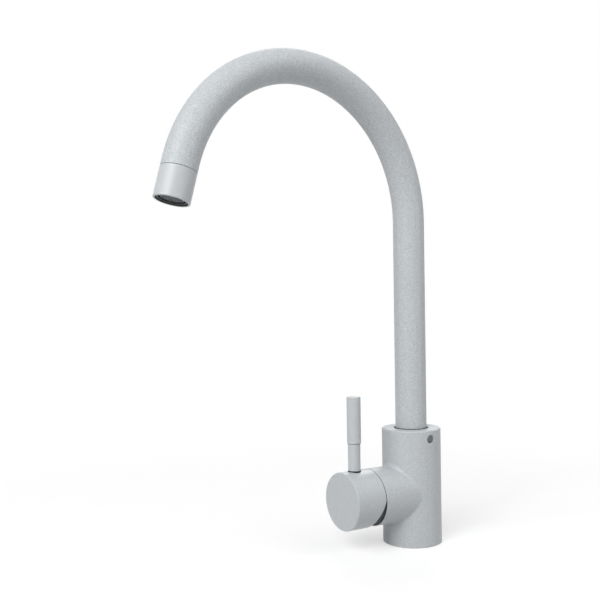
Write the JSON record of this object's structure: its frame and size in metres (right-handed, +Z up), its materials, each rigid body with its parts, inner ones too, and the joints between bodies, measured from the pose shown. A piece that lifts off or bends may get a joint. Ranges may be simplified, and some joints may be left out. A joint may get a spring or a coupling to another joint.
{
  "type": "kitchen mixer tap",
  "caption": "Single-lever kitchen mixer tap with a high round swivel spout, a round body and a knob with a rod lever on its side.",
  "frame": {"origin": "centre of the base face, where the body stands on the worktop", "axes": "+Z up along the body and riser, +X along the side branch towards the knob, +Y towards the lock screw"},
  "size_m": [0.2687, 0.0621, 0.4],
  "materials": {
    "granite_coat": "matt powder coat, granite effect",
    "satin_coat": "matt powder coat, fine",
    "brass": "turned",
    "stem_brass": "drawn and milled",
    "black_rubber": "moulded",
    "slide_plastic": "moulded acetal",
    "cartridge_plastic": "moulded",
    "ceramic_disc": "lapped alumina",
    "steel": "turned",
    "grey_plug": "moulded",
    "aerator_plastic": "moulded"
  },
  "bodies": {
    "tap_body": {"body": "granite_coat", "base_seal": "black_rubber", "foot_wiper": "black_rubber", "cartridge_base": "cartridge_plastic", "cartridge_port_seals": "black_rubber", "cartridge_housing": "cartridge_plastic", "fixed_disc": "ceramic_disc", "cartridge_nut": "brass", "dome_cover": "slide_plastic", "spout_lock_screw": "steel", "lock_screw_plug": "grey_plug"},
    "spout": {"spout_tube": "granite_coat", "spout_nipple": "brass", "nipple_o_rings": "black_rubber", "slide_ring_upper": "slide_plastic", "slide_ring_lower": "slide_plastic", "slide_washer": "slide_plastic", "outlet_bush": "brass", "aerator_sleeve": "satin_coat", "aerator_seal": "black_rubber", "aerator_housing": "aerator_plastic", "aerator_flow_disc": "aerator_plastic", "aerator_outlet_grid": "aerator_plastic"},
    "guide": {"lever_guide": "cartridge_plastic", "pivot_pin": "steel"},
    "mixing_disc": {"moving_disc": "ceramic_disc", "disc_carrier": "cartridge_plastic"},
    "lever": {"stem": "stem_brass", "knob": "granite_coat", "handle_grub_screw": "steel", "lever_rod": "satin_coat", "lever_grip": "satin_coat", "lever_base_ring": "black_rubber"}
  },
  "joints": [
    {"name": "spout_swivel", "type": "hinge", "parent": "tap_body", "child": "spout", "pos_m": [0, 0, 0.084], "axis": [0, 0, 1], "continuous": true},
    {"name": "lever_turn", "type": "hinge", "parent": "tap_body", "child": "guide", "pos_m": [0.04025, 0, 0.043], "axis": [1, 0, 0], "range_deg": [-50, 50]},
    {"name": "lever_lift", "type": "hinge", "parent": "guide", "child": "lever", "pos_m": [0.04025, 0, 0.043], "axis": [0, 1, 0], "range_deg": [0, 22]},
    {"name": "disc_slide", "type": "slide", "parent": "guide", "child": "mixing_disc", "axis": [0, 0, 1], "range_m": [0, 0.00481]}
  ],
  "couplings": [
    {"joint": "disc_slide", "follows": "lever_lift", "m_per_rad": 0.0125}
  ]
}
